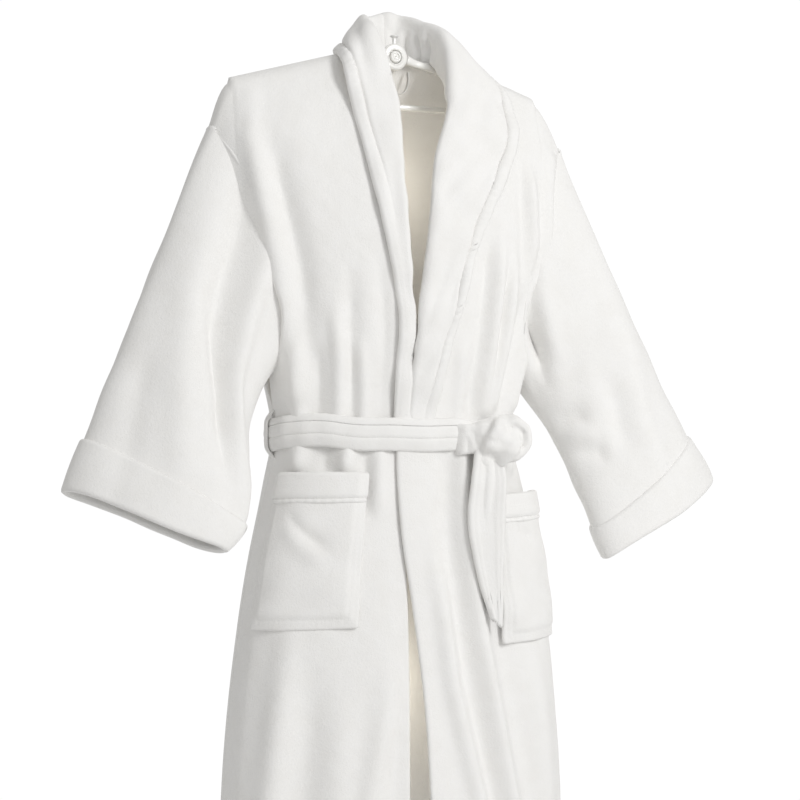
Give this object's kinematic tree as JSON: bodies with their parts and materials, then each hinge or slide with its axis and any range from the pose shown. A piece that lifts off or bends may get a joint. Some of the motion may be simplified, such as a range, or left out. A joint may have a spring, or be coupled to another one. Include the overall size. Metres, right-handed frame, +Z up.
{
  "type": "bathrobe",
  "caption": "Plush kimono-sleeved bathrobe with a shawl collar, patch pockets and a tied belt, hung on a tubular hanger that swivels on a nail-head stem.",
  "frame": {"origin": "centre of the flat top of the hanger stem's nail head, which is what holds the hanger and robe up", "axes": "+Z up along the stem, -Y the front of the robe, +X the wearer's left"},
  "size_m": [0.9486, 0.2367, 1.2377],
  "materials": {
    "terry": "thick brushed plush, warm white",
    "tape": "flat woven tape",
    "hanger_plastic": "semi-gloss white plastic",
    "stem_metal": "satin nickel"
  },
  "bodies": {
    "stem": {"hanger_stem": "stem_metal"},
    "robe": {"hanger_hub": "hanger_plastic", "hub_button": "hanger_plastic", "hanger_arm_right": "hanger_plastic", "hanger_arm_left": "hanger_plastic", "hanger_bar": "hanger_plastic", "back_panel": "terry", "front_panel_right": "terry", "front_panel_left": "terry", "collar_right": "terry", "collar_left": "terry", "pocket_right": "terry", "pocket_left": "terry", "pocket_band_right": "terry", "pocket_band_left": "terry", "belt_wrap": "terry", "belt_knot": "terry", "belt_loop_right": "terry", "belt_loop_left": "terry"},
    "sleeve_right": {"sleeve_right": "terry", "cuff_right": "terry"},
    "sleeve_left": {"sleeve_left": "terry", "cuff_left": "terry"},
    "flap_right": {"front_flap_right": "terry"},
    "flap_left": {"front_flap_left": "terry"},
    "tail_front": {"belt_tail_front": "terry"},
    "tail_back": {"belt_tail_back": "terry"},
    "neck_loop": {"hanging_loop": "tape"}
  },
  "joints": [
    {"name": "hanger_swivel", "type": "hinge", "parent": "stem", "child": "robe", "pos_m": [0, 0, -0.01], "axis": [0, 0, 1], "continuous": true},
    {"name": "sleeve_right_lift", "type": "hinge", "parent": "robe", "child": "sleeve_right", "pos_m": [-0.265, 0, -0.146], "axis": [0, 1, 0], "range_deg": [0, 60]},
    {"name": "sleeve_left_lift", "type": "hinge", "parent": "robe", "child": "sleeve_left", "pos_m": [0.265, 0, -0.146], "axis": [0, -1, 0], "range_deg": [0, 60]},
    {"name": "flap_right_open", "type": "hinge", "parent": "robe", "child": "flap_right", "pos_m": [-0.2325, -0.0005, -0.842], "axis": [-0.0642, 0, -0.9979], "range_deg": [0, 40]},
    {"name": "flap_left_open", "type": "hinge", "parent": "robe", "child": "flap_left", "pos_m": [0.2325, -0.0005, -0.842], "axis": [-0.0642, 0, 0.9979], "range_deg": [0, 40]},
    {"name": "tail_front_lift", "type": "hinge", "parent": "robe", "child": "tail_front", "pos_m": [0.082, -0.109, -0.584], "axis": [-1, 0, 0], "range_deg": [0, 60]},
    {"name": "tail_back_sway", "type": "hinge", "parent": "robe", "child": "tail_back", "pos_m": [0.088, -0.097, -0.584], "axis": [0, 1, 0], "range_deg": [-2, 16]},
    {"name": "neck_loop_tilt", "type": "hinge", "parent": "robe", "child": "neck_loop", "pos_m": [0, 0.0076, -0.047], "axis": [1, 0, 0], "range_deg": [0, 20]}
  ]
}
